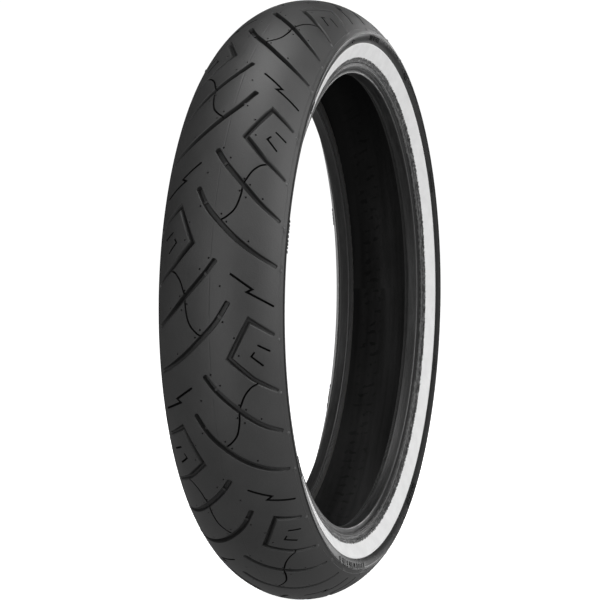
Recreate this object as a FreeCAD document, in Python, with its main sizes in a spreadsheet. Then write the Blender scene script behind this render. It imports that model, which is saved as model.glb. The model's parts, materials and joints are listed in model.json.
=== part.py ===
import FreeCAD, Part

import math
import os

import Sketcher

# A 130/60-19 bias-belted motorcycle tyre, without its rim, in millimetres.
# The origin is the middle of the wheel, the axle lies along Y, and +Z is up.
# Half of the section is drawn in the YZ plane: the sketch's x is the distance from the middle
# plane (y) and its y is the distance from the axle (r). Each ring is turned about the axle.

SIZES = (
    ("overall_diameter", 638.6, "over the tread at the middle"),
    ("section_width", 127.6, "across the shoulders"),
    ("shoulder_drop", 34.3, "from the top of the crown to the shoulder edge"),
    ("rim_diameter", 482.6, "19 inch bead seat"),
    ("rim_width", 88.9, "3.50 inch between the rim's flanges"),
    ("heel_radius", 5.0, "rounded outer corner of a bead"),
    ("toe_land", 2.0, "width of the toe's sloping lip"),
    ("toe_lip", 0.8, "how far the toe reaches in past the bead seat"),
    ("cap_thickness", 7.5, "tread rubber with the grooves"),
    ("base_thickness", 2.0, "undertread"),
    ("belt_thickness", 1.1, "one belt"),
    ("strip_margin_angle", 1.5, "belt edge strip short of the shoulder, degrees"),
    ("belt_end_angle", 8.3, "inner belt short of the edge strip's outer end, degrees"),
    ("belt_step_angle", 4.0, "outer belt short of the inner one, degrees"),
    ("ply_thickness", 0.9, "one carcass ply"),
    ("liner_thickness", 1.2, "air-tight liner"),
    ("side_rubber", 9.6, "from the widest ply to the widest point"),
    ("side_bend_radius", 10.0, "the plies' bend beside the belts"),
    ("bead_bend_radius", 4.0, "the plies' bend above a bead"),
    ("filler_tip", 2.07, "bead filler's thickness at its top, where the ply ends stop"),
    ("rim_strip_thickness", 1.5, "rubber that seats on the rim"),
    ("rim_strip_rise", 8.0, "its upper edge above the heel, along the sidewall"),
    ("chafer_thickness", 0.6, "woven strip under the rim strip"),
    ("wrap_thickness", 0.6, "fabric wound round the bead wires"),
    ("wire_diameter", 1.0, "one bead wire"),
    ("wire_gap", 0.08, "rubber between two wires"),
    ("wires_across", 4, "wires side by side in one bead"),
    ("wires_high", 4, "wires above each other in one bead"),
    ("stripe_inset", 3.2, "stripe's outer edge in from the shoulder, across"),
    ("stripe_drop", 11.8, "stripe's outer edge below the shoulder"),
    ("stripe_width", 16.0, "white stripe, along the sidewall"),
    ("stripe_thickness", 1.2, "white rubber let into the sidewall"),
    ("shoulder_radius", 23.0, "sidewall's bulge between the stripe and the shoulder"),
    ("groove_depth", 5.0, "tread grooves, near the middle"),
    ("groove_end_depth", 1.2, "their outer ends, at the shoulder"),
    ("groove_width", 5.2, "main grooves"),
    ("hook_width", 4.4, "hooked grooves"),
    ("pattern_pitches", 9, "repeats of the tread pattern round the tyre"),
    ("pattern_turn", -0.8, "where the first one starts, degrees from +X towards +Z"),
)

WORKED = (
    ("half_width", "Sizes.section_width / 2"),
    ("shoulder_r", "Sizes.overall_diameter / 2 - Sizes.shoulder_drop"),
    ("crown_radius", "(half_width^2 + Sizes.shoulder_drop^2) / (2 * Sizes.shoulder_drop)"),
    ("crown_centre", "Sizes.overall_diameter / 2 - crown_radius"),
    ("edge_angle", "asin(half_width / crown_radius)"),
    ("cap_floor", "crown_radius - Sizes.cap_thickness"),
    ("base_floor", "cap_floor - Sizes.base_thickness"),
    ("belt_middle", "base_floor - Sizes.belt_thickness"),
    ("carcass_radius", "belt_middle - Sizes.belt_thickness"),
    ("side_y", "half_width - Sizes.side_rubber - Sizes.side_bend_radius"),
    ("side_angle", "asin(side_y / (carcass_radius - Sizes.side_bend_radius))"),
    ("side_r", "crown_centre + (carcass_radius - Sizes.side_bend_radius) * cos(side_angle)"),
    ("strip_angle", "min(side_angle; edge_angle) - Sizes.strip_margin_angle * 1deg"),
    ("inner_belt_edge", "strip_angle - Sizes.belt_end_angle * 1deg"),
    ("outer_belt_edge", "inner_belt_edge - Sizes.belt_step_angle * 1deg"),
    ("seat_r", "Sizes.rim_diameter / 2"),
    ("heel_y", "Sizes.rim_width / 2"),
    ("heel_r", "seat_r + Sizes.heel_radius"),
    ("stripe_y", "half_width - Sizes.stripe_inset"),
    ("stripe_r", "shoulder_r - Sizes.stripe_drop"),
    ("slope", "atan((stripe_y - heel_y) / (stripe_r - heel_r))"),
    ("stripe_top", "(stripe_r - heel_r) / cos(slope)"),
    ("stripe_foot", "stripe_top - Sizes.stripe_width"),
    ("bulge_chord", "sqrt(Sizes.stripe_inset^2 + Sizes.stripe_drop^2)"),
    ("bulge_depth", "sqrt(Sizes.shoulder_radius^2 - bulge_chord^2 / 4)"),
    ("bulge_y", "half_width - Sizes.stripe_inset / 2 - bulge_depth * Sizes.stripe_drop / bulge_chord"),
    ("bulge_r", "shoulder_r - Sizes.stripe_drop / 2 + bulge_depth * Sizes.stripe_inset / bulge_chord"),
    ("cover", "Sizes.rim_strip_thickness + Sizes.chafer_thickness"),
    ("wire_pitch", "Sizes.wire_diameter + Sizes.wire_gap"),
    ("plies", "2 * Sizes.ply_thickness"),
    ("wrap_outer_y", "heel_y - cover - plies"),
    ("wrap_inner_y", "wrap_outer_y - 2 * Sizes.wrap_thickness - Sizes.wires_across * wire_pitch"),
    ("wrap_foot", "seat_r + cover + plies"),
    ("wrap_top", "wrap_foot + 2 * Sizes.wrap_thickness + Sizes.wires_high * wire_pitch"),
    ("toe_y", "wrap_inner_y - plies - Sizes.liner_thickness"),
    ("bend_y", "wrap_inner_y + Sizes.bead_bend_radius"),
    ("bend_gap", "sqrt((side_y - bend_y)^2 + (side_r - wrap_top)^2)"),
    ("bend_lean", "atan((side_y - bend_y) / (side_r - wrap_top))"),
    ("wall_angle", "bend_lean + asin((Sizes.side_bend_radius + Sizes.bead_bend_radius) / bend_gap)"),
    ("filler_depth", "cover + plies + Sizes.filler_tip"),
    ("heel_reach", "sin(wall_angle) * (heel_r - side_r) - cos(wall_angle) * (heel_y - side_y)"),
    ("tip_reach", "Sizes.side_bend_radius + filler_depth * cos(wall_angle - slope)"),
    ("turn_up", "(heel_reach + tip_reach) / sin(slope - wall_angle)"),
)

# Grooves of one pitch on the right-hand half of the tread. Each point is (distance from the
# middle as a share of the half tread, place round the tyre as a share of one pitch).
MAIN_GROOVES = (
    ((-0.07, -0.245), (0.08, -0.312), (0.34, -0.402), (0.61, -0.485), (0.87, -0.543)),
    ((-0.25, -0.425), (-0.10, -0.508), (0.08, -0.574), (0.34, -0.653), (0.61, -0.714), (0.87, -0.757)),
)
HOOKED_GROOVE = ((0.85, -0.071), (0.52, 0.0), (0.26, -0.168), (0.56, -0.267), (0.87, -0.338))
FULL_DEPTH_SHARE = 0.45
CUTTER_MARGIN = 3.0

doc = FreeCAD.newDocument("motorcycle_tyre")
nodes = []


def make_sheets():
    """The driving sizes, and the sizes worked out from them."""
    sizes = doc.addObject("Spreadsheet::Sheet", "Sizes")
    for row, (alias, value, meaning) in enumerate(SIZES, start=1):
        sizes.set(f"A{row}", alias)
        sizes.set(f"B{row}", str(value))
        sizes.set(f"C{row}", meaning)
        sizes.setAlias(f"B{row}", alias)
    worked = doc.addObject("Spreadsheet::Sheet", "Worked")
    doc.recompute()
    for row, (alias, formula) in enumerate(WORKED, start=1):
        worked.set(f"A{row}", alias)
        worked.set(f"B{row}", "=" + formula)
        worked.setAlias(f"B{row}", alias)
        doc.recompute()
    return worked


worked = make_sheets()


def value(text):
    """The number that an expression gives now."""
    found = worked.evalExpression(text)
    return float(getattr(found, "Value", found))


# Corners of the section. Each is a pair of expressions (y, r) in the sheets' terms.


def on_crown(radius, angle):
    """A point on an arc about the crown's centre."""
    if angle == "0":
        return ("0", f"Worked.crown_centre + {radius}")
    return (f"({radius}) * sin({angle})", f"Worked.crown_centre + ({radius}) * cos({angle})")


def on_wall(depth, rise):
    """A point at a depth under the sidewall's straight part, a distance above the heel."""
    return (
        f"Worked.heel_y + ({rise}) * sin(Worked.slope) - ({depth}) * cos(Worked.slope)",
        f"Worked.heel_r + ({rise}) * cos(Worked.slope) + ({depth}) * sin(Worked.slope)",
    )


def above_heel(depth):
    """The same depth where the sidewall turns straight up the rim's flange."""
    return (f"Worked.heel_y - ({depth})", f"Worked.heel_r + ({depth}) * tan(Worked.slope / 2)")


CROWN = ("0", "Worked.crown_centre")
SIDE = ("Worked.side_y", "Worked.side_r")
BEND = ("Worked.bend_y", "Worked.wrap_top")
BULGE = ("Worked.bulge_y", "Worked.bulge_r")


def side_point(depth):
    """Where the side bend, a depth inside the outer ply, runs into the straight wall."""
    reach = f"(Sizes.side_bend_radius - ({depth}))"
    return (
        f"Worked.side_y + {reach} * cos(Worked.wall_angle)",
        f"Worked.side_r - {reach} * sin(Worked.wall_angle)",
    )


def bead_point(depth):
    """Where the straight wall, at that depth, runs into the bend above the bead."""
    reach = f"(Sizes.bead_bend_radius + ({depth}))"
    return (
        f"Worked.bend_y - {reach} * cos(Worked.wall_angle)",
        f"Worked.wrap_top + {reach} * sin(Worked.wall_angle)",
    )


def down_wall(depth):
    """Corners from the side bend to the bead, at a depth inside the outer ply."""
    return [
        (on_crown(f"Worked.carcass_radius - ({depth})", "Worked.side_angle"), SIDE),
        (side_point(depth), None),
        (bead_point(depth), BEND),
        ((f"Worked.wrap_inner_y - ({depth})", "Worked.wrap_top"), None),
    ]


def down_section(depth):
    """The same from the middle of the crown."""
    return [(on_crown(f"Worked.carcass_radius - ({depth})", "0"), CROWN)] + down_wall(depth)


def reverse(corners):
    """Corners walked the other way, each arc's centre kept with its own edge."""
    points = [corner for corner, _ in corners][::-1]
    centres = [centre for _, centre in corners[:-1]][::-1] + [None]
    return list(zip(points, centres))


# Turning an outline into a ring.


def place_constraints(sketch, edge, end, corner, label, skip=""):
    """Ties one point of an edge to a corner's expressions."""
    for letter, kind, text in (("y", "DistanceX", corner[0]), ("r", "DistanceY", corner[1])):
        if letter == skip:
            continue
        if text == "0":
            sketch.addConstraint(Sketcher.Constraint("PointOnObject", edge, end, -2))
            continue
        index = sketch.addConstraint(Sketcher.Constraint(kind, edge, end, value(text)))
        sketch.renameConstraint(index, f"{letter}_{label}")
        sketch.setExpression(f"Constraints.{letter}_{label}", text)


def draw(sketch, corners):
    """Draws a closed outline: each corner's edge is straight, or an arc about its centre."""
    places = [FreeCAD.Vector(value(y), value(r), 0) for (y, r), _ in corners]
    first = sketch.GeometryCount
    ends = []
    for i, (_, centre) in enumerate(corners):
        start, stop = places[i], places[(i + 1) % len(corners)]
        if centre is None:
            sketch.addGeometry(Part.LineSegment(start, stop), False)
            ends.append((1, 2))
            continue
        middle = FreeCAD.Vector(value(centre[0]), value(centre[1]), 0)
        angles = [math.atan2(p.y - middle.y, p.x - middle.x) for p in (start, stop)]
        turns_left = (angles[1] - angles[0]) % (2 * math.pi) < math.pi
        circle = Part.Circle(middle, FreeCAD.Vector(0, 0, 1), (start - middle).Length)
        arc = Part.ArcOfCircle(circle, *(angles if turns_left else angles[::-1]))
        sketch.addGeometry(arc, False)
        ends.append((1, 2) if turns_left else (2, 1))
    for i, (corner, centre) in enumerate(corners):
        edge, before = first + i, first + (i - 1) % len(corners)
        sketch.addConstraint(
            Sketcher.Constraint("Coincident", before, ends[i - 1][1], edge, ends[i][0])
        )
        skip = ""
        arc_before = corners[i - 1][1]
        if arc_before is not None:
            # The arc already holds its end to the circle, so one of the two lengths is enough.
            across = abs(places[i].x - value(arc_before[0]))
            up = abs(places[i].y - value(arc_before[1]))
            skip = "y" if across > up else "r"
        place_constraints(sketch, edge, ends[i][0], corner, f"corner_{edge}", skip)
        if centre is not None:
            place_constraints(sketch, edge, 3, centre, f"centre_{edge}")


def origin_plane(body, role):
    return next(f for f in body.Origin.OriginFeatures if f.Role == role)


def ring(name, outlines, both_sides=False, flipped=False):
    """A body turned about the axle from closed outlines of the right-hand half."""
    body = doc.addObject("PartDesign::Body", name)
    sketch = body.newObject("Sketcher::SketchObject", f"{name}_section")
    sketch.AttachmentSupport = [(origin_plane(body, "YZ_Plane"), "")]
    sketch.MapMode = "FlatFace"
    for corners in outlines:
        draw(sketch, corners)
    turned = body.newObject("PartDesign::Revolution", f"{name}_turned")
    turned.Profile = sketch
    turned.ReferenceAxis = (sketch, ["H_Axis"])
    turned.Angle = 360
    body.Tip = turned
    if both_sides:
        doc.recompute()
        mirrored = body.newObject("PartDesign::Mirrored", f"{name}_mirrored")
        mirrored.Originals = [turned]
        mirrored.MirrorPlane = (origin_plane(body, "XZ_Plane"), [""])
        body.Tip = mirrored
    body.Label = name
    if flipped:
        body.Placement = FreeCAD.Placement(
            FreeCAD.Vector(0, 0, 0), FreeCAD.Rotation(FreeCAD.Vector(0, 0, 1), 180)
        )
    return body


def pair(name, outlines):
    """The same ring on both sides of the tyre, the left one turned round to face the other way."""
    for side in ("right", "left"):
        nodes.append(ring(f"{name}_{side}", outlines, flipped=side == "left"))


def straight(*corners):
    return [(corner, None) for corner in corners]


# The pieces, from the crown inwards and then down to the beads.


def crown_layer(outer, inner, angle):
    """Outline of a layer concentric with the crown."""
    return [
        (on_crown(outer, "0"), CROWN),
        (on_crown(outer, angle), None),
        (on_crown(inner, angle), CROWN),
        (on_crown(inner, "0"), None),
    ]


def tread_point(share, place, height):
    """A point over the crown: a share of the half tread, a place in degrees, a height."""
    lean = share * value("Worked.edge_angle")
    radius = value("Worked.crown_radius") + height
    y = radius * math.sin(math.radians(lean))
    r = value("Worked.crown_centre") + radius * math.cos(math.radians(lean))
    turn = math.radians(place)
    return FreeCAD.Vector(r * math.cos(turn), y, r * math.sin(turn))


def depth_at(share):
    """Full depth over the middle of the tread, running out towards the shoulder."""
    deep, shallow = value("Sizes.groove_depth"), value("Sizes.groove_end_depth")
    outer_end = max(share for share, _ in MAIN_GROOVES[0])
    past = max(0.0, share - FULL_DEPTH_SHARE) / (outer_end - FULL_DEPTH_SHARE)
    return deep + (shallow - deep) * past


def cutter(path, width, side):
    """A bar along a groove's path, from the groove's floor to above the crown."""
    floor = [tread_point(side * share, place, -depth_at(share)) for share, place in path]
    top = [tread_point(side * share, place, CUTTER_MARGIN) for share, place in path]
    sections = []
    for i, foot in enumerate(floor):
        along = floor[min(i + 1, len(floor) - 1)] - floor[max(i - 1, 0)]
        across = along.cross(top[i] - foot).normalize() * (width / 2)
        corners = [foot - across, foot + across, top[i] + across, top[i] - across]
        sections.append(Part.makePolygon(corners + corners[:1]))
    return Part.makeLoft(sections, True, True)


def hook_cutters(side, start, pitch):
    """A hooked groove is three straight bars that share its corners."""
    width = value("Sizes.hook_width")
    points = [(share, start + place * pitch) for share, place in HOOKED_GROOVE]
    legs = (points[:2], points[1:3], points[2:])
    bars = [cutter(leg, width, side) for leg in legs]
    return bars[0].fuse(bars[1:]).Solids


def groove_cutters():
    """Every groove of the tread: the left half is the right half mirrored, half a pitch on."""
    pitches = round(value("Sizes.pattern_pitches"))
    pitch = 360 / pitches
    bars = []
    for turn in range(pitches):
        for side, shift in ((1, 0.0), (-1, 0.5)):
            start = value("Sizes.pattern_turn") + (turn + shift) * pitch
            for groove in MAIN_GROOVES:
                path = [(share, start + place * pitch) for share, place in groove]
                bars.append(cutter(path, value("Sizes.groove_width"), side))
            bars += hook_cutters(side, start, pitch)
    cutters = doc.addObject("Part::Feature", "groove_cutters")
    cutters.Shape = Part.makeCompound(bars)
    return cutters


def make_tread():
    blank = ring(
        "tread_blank",
        [crown_layer("Worked.crown_radius", "Worked.cap_floor", "Worked.edge_angle")],
        both_sides=True,
    )
    doc.recompute()
    cap = doc.addObject("Part::Cut", "tread_cap")
    cap.Base = blank
    cap.Tool = groove_cutters()
    cap.Label = "tread_cap"
    nodes.append(cap)
    base = crown_layer("Worked.cap_floor", "Worked.base_floor", "Worked.edge_angle")
    nodes.append(ring("tread_base", [base], both_sides=True))


def make_belts():
    outer = crown_layer("Worked.base_floor", "Worked.belt_middle", "Worked.outer_belt_edge")
    inner = crown_layer("Worked.belt_middle", "Worked.carcass_radius", "Worked.inner_belt_edge")
    nodes.append(ring("outer_belt", [outer], both_sides=True))
    nodes.append(ring("inner_belt", [inner], both_sides=True))
    edge_strip = [
        (on_crown("Worked.base_floor", "Worked.outer_belt_edge"), CROWN),
        (on_crown("Worked.base_floor", "Worked.strip_angle"), None),
        (on_crown("Worked.carcass_radius", "Worked.strip_angle"), CROWN),
        (on_crown("Worked.carcass_radius", "Worked.inner_belt_edge"), None),
        (on_crown("Worked.belt_middle", "Worked.inner_belt_edge"), CROWN),
        (on_crown("Worked.belt_middle", "Worked.outer_belt_edge"), None),
    ]
    pair("belt_edge_strip", [edge_strip])


def ply(name, depth):
    """A carcass ply, from bead to bead and turned up round each."""
    below = f"{depth} + Sizes.ply_thickness"
    outer_leg = "Worked.cover + Worked.plies - ({})"
    corners = down_section(depth)
    corners += straight(
        (f"Worked.wrap_inner_y - ({depth})", f"Worked.wrap_foot - ({depth})"),
        ("Worked.heel_y - (" + outer_leg.format(depth) + ")", f"Worked.wrap_foot - ({depth})"),
        above_heel(outer_leg.format(depth)),
        on_wall(outer_leg.format(depth), "Worked.turn_up"),
        on_wall(outer_leg.format(below), "Worked.turn_up"),
        above_heel(outer_leg.format(below)),
        ("Worked.heel_y - (" + outer_leg.format(below) + ")", f"Worked.wrap_foot - ({below})"),
        (f"Worked.wrap_inner_y - ({below})", f"Worked.wrap_foot - ({below})"),
    )
    corners += reverse(down_section(below))
    nodes.append(ring(name, [corners], both_sides=True))


def make_carcass():
    ply("outer_ply", "0")
    ply("inner_ply", "Sizes.ply_thickness")
    liner_face = "Worked.plies + Sizes.liner_thickness"
    corners = down_section("Worked.plies")
    corners += straight(
        ("Worked.wrap_inner_y - Worked.plies", "Worked.seat_r + Worked.cover"),
        ("Worked.toe_y", "Worked.seat_r + Worked.cover"),
    )
    corners += reverse(down_section(liner_face))
    nodes.append(ring("inner_liner", [corners], both_sides=True))


def make_sidewalls():
    wall = straight(
        on_wall("0", "Sizes.rim_strip_rise"),
        on_wall("0", "Worked.stripe_foot"),
        on_wall("Sizes.stripe_thickness", "Worked.stripe_foot"),
        on_wall("Sizes.stripe_thickness", "Worked.stripe_top"),
    )
    wall += [
        (on_wall("0", "Worked.stripe_top"), BULGE),
        (on_crown("Worked.crown_radius", "Worked.edge_angle"), None),
        (on_crown("Worked.base_floor", "Worked.edge_angle"), CROWN),
        (on_crown("Worked.base_floor", "Worked.strip_angle"), None),
        (on_crown("Worked.carcass_radius", "Worked.strip_angle"), CROWN),
    ]
    wall += down_wall("0")[:1]
    wall += straight(
        side_point("0"),
        on_wall("Worked.filler_depth", "Worked.turn_up"),
        on_wall("Worked.cover", "Worked.turn_up"),
        on_wall("Worked.cover", "Sizes.rim_strip_rise"),
    )
    pair("sidewall", [wall])
    stripe = straight(
        on_wall("0", "Worked.stripe_foot"),
        on_wall("0", "Worked.stripe_top"),
        on_wall("Sizes.stripe_thickness", "Worked.stripe_top"),
        on_wall("Sizes.stripe_thickness", "Worked.stripe_foot"),
    )
    pair("white_stripe", [stripe])


def make_bead_covers():
    strip_face = "Sizes.rim_strip_thickness"
    seat = "Worked.seat_r"
    strip = straight(
        ("Worked.toe_y", f"{seat} - Sizes.toe_lip"),
        ("Worked.toe_y + Sizes.toe_land", seat),
    )
    strip += [
        (
            ("Worked.heel_y - Sizes.heel_radius", seat),
            ("Worked.heel_y - Sizes.heel_radius", "Worked.heel_r"),
        )
    ]
    strip += straight(
        ("Worked.heel_y", "Worked.heel_r"),
        on_wall("0", "Sizes.rim_strip_rise"),
        on_wall(strip_face, "Sizes.rim_strip_rise"),
        above_heel(strip_face),
        (f"Worked.heel_y - {strip_face}", f"{seat} + {strip_face}"),
        ("Worked.toe_y", f"{seat} + {strip_face}"),
    )
    pair("rim_strip", [strip])
    chafer = straight(
        ("Worked.toe_y", f"{seat} + {strip_face}"),
        (f"Worked.heel_y - {strip_face}", f"{seat} + {strip_face}"),
        above_heel(strip_face),
        on_wall(strip_face, "Sizes.rim_strip_rise"),
        on_wall("Worked.cover", "Sizes.rim_strip_rise"),
        above_heel("Worked.cover"),
        ("Worked.heel_y - Worked.cover", f"{seat} + Worked.cover"),
        ("Worked.toe_y", f"{seat} + Worked.cover"),
    )
    pair("chafer", [chafer])


def bead_box(inset):
    """The rectangle round the bead wires, shrunk by an inset."""
    return straight(
        (f"Worked.wrap_inner_y + {inset}", f"Worked.wrap_foot + {inset}"),
        (f"Worked.wrap_outer_y - {inset}", f"Worked.wrap_foot + {inset}"),
        (f"Worked.wrap_outer_y - {inset}", f"Worked.wrap_top - {inset}"),
        (f"Worked.wrap_inner_y + {inset}", f"Worked.wrap_top - {inset}"),
    )


def make_bead_cores():
    pair("bead_wrap", [bead_box("0"), bead_box("Sizes.wrap_thickness")])
    behind = "Worked.cover + Worked.plies"
    filler = straight(
        ("Worked.wrap_inner_y", "Worked.wrap_top"),
        ("Worked.wrap_outer_y", "Worked.wrap_top"),
        above_heel(behind),
        on_wall(behind, "Worked.turn_up"),
        on_wall("Worked.filler_depth", "Worked.turn_up"),
    )
    filler += [(bead_point("0"), BEND)]
    pair("bead_filler", [filler])
    for side, sign in (("right", 1), ("left", -1)):
        bead_wires(f"bead_wires_{side}", sign)


def bead_wires(name, sign):
    """A square bundle of hoops, each a separate wire."""
    hoops = []
    for row in range(round(value("Sizes.wires_high"))):
        for column in range(round(value("Sizes.wires_across"))):
            hoop = doc.addObject("Part::Torus", f"{name}_{row}_{column}")
            first = "Sizes.wrap_thickness + Worked.wire_pitch * "
            hoop.setExpression("Radius1", f"Worked.wrap_foot + {first}{row + 0.5}")
            hoop.setExpression("Radius2", "Sizes.wire_diameter / 2")
            hoop.Placement = FreeCAD.Placement(
                FreeCAD.Vector(0, 0, 0), FreeCAD.Rotation(FreeCAD.Vector(1, 0, 0), 90)
            )
            place = f"{sign} * (Worked.wrap_inner_y + {first}{column + 0.5})"
            hoop.setExpression("Placement.Base.y", place)
            hoops.append(hoop)
    bundle = doc.addObject("Part::Compound", name)
    bundle.Links = hoops
    bundle.Label = name
    nodes.append(bundle)


def check_and_write():
    """Stops if anything failed, and otherwise writes each piece to its own file."""
    doc.recompute()
    for thing in doc.Objects:
        if {"Invalid", "Error"} & set(thing.State):
            raise SystemExit(f"{thing.Name} is {thing.State}")
    for node in nodes:
        shape = node.Shape
        if shape.isNull() or not shape.isValid():
            raise SystemExit(f"{node.Label} has no valid shape")
    os.makedirs("parts", exist_ok=True)
    for node in nodes:
        node.Shape.exportStep(f"parts/{node.Label}.step")
        print(node.Label, len(node.Shape.Solids), "solids", round(node.Shape.Volume), "mm3")


make_tread()
make_belts()
make_carcass()
make_sidewalls()
make_bead_covers()
make_bead_cores()
check_and_write()
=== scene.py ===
import json
import math
import random

import bmesh
import bpy
import numpy as np
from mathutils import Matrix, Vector
from mathutils.geometry import delaunay_2d_cdt


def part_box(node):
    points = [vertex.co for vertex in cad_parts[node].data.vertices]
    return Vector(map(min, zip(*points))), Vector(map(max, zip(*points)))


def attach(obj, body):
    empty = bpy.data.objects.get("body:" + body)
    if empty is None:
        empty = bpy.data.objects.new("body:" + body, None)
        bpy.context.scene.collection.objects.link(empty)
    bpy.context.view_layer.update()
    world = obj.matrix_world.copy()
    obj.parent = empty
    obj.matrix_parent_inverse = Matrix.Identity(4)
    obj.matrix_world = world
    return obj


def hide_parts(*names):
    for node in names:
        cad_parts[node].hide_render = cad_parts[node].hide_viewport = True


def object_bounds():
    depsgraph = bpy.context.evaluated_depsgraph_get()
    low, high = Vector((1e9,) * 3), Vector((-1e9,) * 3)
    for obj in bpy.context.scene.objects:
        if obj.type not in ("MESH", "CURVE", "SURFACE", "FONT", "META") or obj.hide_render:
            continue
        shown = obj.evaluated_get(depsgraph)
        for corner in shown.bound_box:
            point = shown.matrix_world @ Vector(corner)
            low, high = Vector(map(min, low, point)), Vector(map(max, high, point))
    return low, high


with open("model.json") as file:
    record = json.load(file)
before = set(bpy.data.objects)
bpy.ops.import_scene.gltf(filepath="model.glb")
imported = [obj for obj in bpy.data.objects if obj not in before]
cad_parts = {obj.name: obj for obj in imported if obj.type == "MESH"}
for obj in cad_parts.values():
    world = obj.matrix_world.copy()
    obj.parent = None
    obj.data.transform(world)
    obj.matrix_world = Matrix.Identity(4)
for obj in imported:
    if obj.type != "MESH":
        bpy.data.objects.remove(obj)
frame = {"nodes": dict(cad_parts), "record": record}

CAD_LOW, CAD_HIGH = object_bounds()
MM = 0.001
BODY = "root"

# --------------------
# Sizes in millimetres. The overall ones come from the frame, and the rest repeat the design's.
# --------------------
cap_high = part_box("tread_cap")[1]
seat = next(m for m in frame["record"]["mounts"] if m["name"] == "bead_seat_right")
OUTER_R = cap_high.z / MM
HALF_WIDTH = cap_high.y / MM
SEAT_R = seat["dims"]["r_mm"]
HEEL_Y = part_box("rim_strip_right")[1].y / MM
SHOULDER_DROP = 34.3
CAP_THICKNESS, BASE_THICKNESS, BELT_THICKNESS = 7.5, 2.0, 1.1
PLIES, LINER = 1.8, 1.2
SIDE_RUBBER, SIDE_BEND, BEAD_BEND = 9.6, 10.0, 4.0
HEEL_RADIUS, TOE_LAND, TOE_LIP = 5.0, 2.0, 0.8
STRIP, COVER = 1.5, 2.1
STRIP_RISE, TURN_UP = 8.0, 20.0
STRIPE_INSET, STRIPE_DROP, STRIPE_WIDTH, STRIPE_DEPTH = 3.2, 11.8, 16.0, 1.2
BULGE_RADIUS = 23.0
BEAD_BUNDLE = 4 * 1.08 + 2 * 0.6
STRIP_MARGIN = math.radians(1.5)

# The half section, as in the design: y from the middle plane, r from the axle.
SHOULDER_R = OUTER_R - SHOULDER_DROP
CROWN_RADIUS = (HALF_WIDTH**2 + SHOULDER_DROP**2) / (2 * SHOULDER_DROP)
CROWN_CENTRE = OUTER_R - CROWN_RADIUS
EDGE_ANGLE = math.asin(HALF_WIDTH / CROWN_RADIUS)
HALF_TREAD = CROWN_RADIUS * EDGE_ANGLE
BASE_FLOOR = CROWN_RADIUS - CAP_THICKNESS - BASE_THICKNESS
CARCASS = BASE_FLOOR - 2 * BELT_THICKNESS
SIDE_Y = HALF_WIDTH - SIDE_RUBBER - SIDE_BEND
SIDE_ANGLE = math.asin(SIDE_Y / (CARCASS - SIDE_BEND))
SIDE_R = CROWN_CENTRE + (CARCASS - SIDE_BEND) * math.cos(SIDE_ANGLE)
STRIP_ANGLE = min(SIDE_ANGLE, EDGE_ANGLE) - STRIP_MARGIN
HEEL_R = SEAT_R + HEEL_RADIUS
STRIPE_Y, STRIPE_R = HALF_WIDTH - STRIPE_INSET, SHOULDER_R - STRIPE_DROP
SLOPE = math.atan2(STRIPE_Y - HEEL_Y, STRIPE_R - HEEL_R)
STRIPE_TOP = (STRIPE_R - HEEL_R) / math.cos(SLOPE)
STRIPE_FOOT = STRIPE_TOP - STRIPE_WIDTH
WRAP_OUTER_Y = HEEL_Y - COVER - PLIES
WRAP_INNER_Y = WRAP_OUTER_Y - BEAD_BUNDLE
WRAP_TOP = SEAT_R + COVER + PLIES + BEAD_BUNDLE
TOE_Y = WRAP_INNER_Y - PLIES - LINER
BEND_Y = WRAP_INNER_Y + BEAD_BEND
BEND_GAP = math.hypot(SIDE_Y - BEND_Y, SIDE_R - WRAP_TOP)
WALL_ANGLE = math.atan2(SIDE_Y - BEND_Y, SIDE_R - WRAP_TOP) + math.asin((SIDE_BEND + BEAD_BEND) / BEND_GAP)


def on_crown(radius, angle):
    return (radius * math.sin(angle), CROWN_CENTRE + radius * math.cos(angle))


def on_wall(depth, rise):
    """A point at a depth under the sidewall's straight part, a distance above the heel."""
    y = HEEL_Y + rise * math.sin(SLOPE) - depth * math.cos(SLOPE)
    return (y, HEEL_R + rise * math.cos(SLOPE) + depth * math.sin(SLOPE))


def above_heel(depth):
    """Where the wall's straight part meets the heel, a depth under both."""
    return (HEEL_Y - depth, HEEL_R + depth * math.tan(SLOPE / 2))


def side_point(depth):
    """The end of the sidewall's bend, a depth inside the plies' outer face."""
    reach = SIDE_BEND - depth
    return (SIDE_Y + reach * math.cos(WALL_ANGLE), SIDE_R - reach * math.sin(WALL_ANGLE))


def bead_point(depth):
    """The start of the bend over the bead bundle, at the same depth."""
    reach = BEAD_BEND + depth
    return (BEND_Y - reach * math.cos(WALL_ANGLE), WRAP_TOP + reach * math.sin(WALL_ANGLE))


def filler_depth():
    """How deep the plies' outer face lies under the wall at the turn-up's height."""
    y, r = on_wall(0, TURN_UP)
    reach = math.cos(WALL_ANGLE) * (y - SIDE_Y) - math.sin(WALL_ANGLE) * (r - SIDE_R)
    return (reach - SIDE_BEND) / math.cos(WALL_ANGLE - SLOPE)


def arc(centre, start, stop, steps):
    """Points along the arc from start to stop about a centre, the short way, both ends included."""
    a = math.atan2(start[1] - centre[1], start[0] - centre[0])
    b = math.atan2(stop[1] - centre[1], stop[0] - centre[0])
    turn = (b - a + math.pi) % (2 * math.pi) - math.pi
    radius = math.dist(centre, start)
    angles = [a + turn * i / steps for i in range(steps + 1)]
    return [(centre[0] + radius * math.cos(t), centre[1] + radius * math.sin(t)) for t in angles]


def thinned(points, closest=0.02):
    """Drops a point that repeats the one before it."""
    kept = []
    for p in points:
        if not kept or math.dist(p, kept[-1]) > closest:
            kept.append(p)
    if math.dist(kept[0], kept[-1]) <= closest:
        kept.pop()
    return kept


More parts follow.
